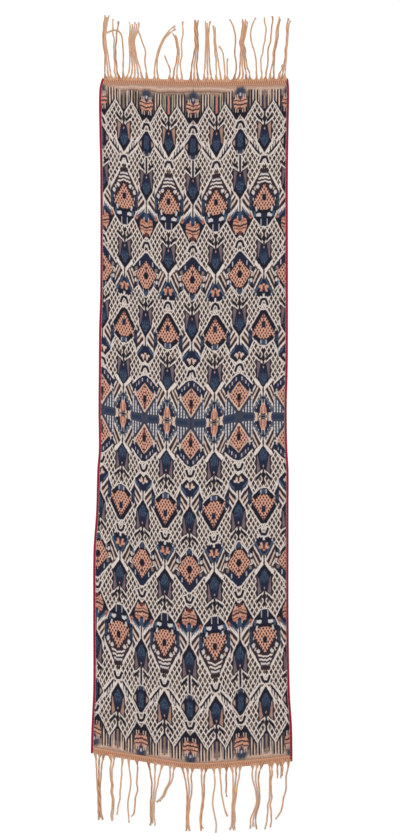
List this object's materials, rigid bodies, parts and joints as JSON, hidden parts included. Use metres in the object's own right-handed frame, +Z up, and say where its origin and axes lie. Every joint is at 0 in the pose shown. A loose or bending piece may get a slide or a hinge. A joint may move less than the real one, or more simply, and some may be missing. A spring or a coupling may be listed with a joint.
{
  "type": "ikat woven cloth",
  "caption": "Long narrow handwoven warp-ikat shoulder cloth laid flat, with red cord edging down both sides and a woven heading with a loose fringe at each end.",
  "frame": {"origin": "on the underside, below the middle of the whole width and of the whole length with the fringes", "axes": "+Z up from the surface the cloth lies on, +Y along the warp towards the straight end, +X across the cloth"},
  "size_m": [0.6857, 2.7806, 0.0026],
  "materials": {
    "ikat_cotton": "matte warp-faced cotton, dyed in blurred figures of indigo, brown, salmon and cream",
    "red_cotton": "matte crimson cotton cord",
    "tan_cotton": "matte salmon and tan cotton, twined heading and loose plied yarn"
  },
  "bodies": {
    "root": {"cloth": "ikat_cotton", "edging_left": "red_cotton", "edging_right": "red_cotton", "fringe_top": "tan_cotton", "fringe_bottom": "tan_cotton"}
  },
  "joints": []
}
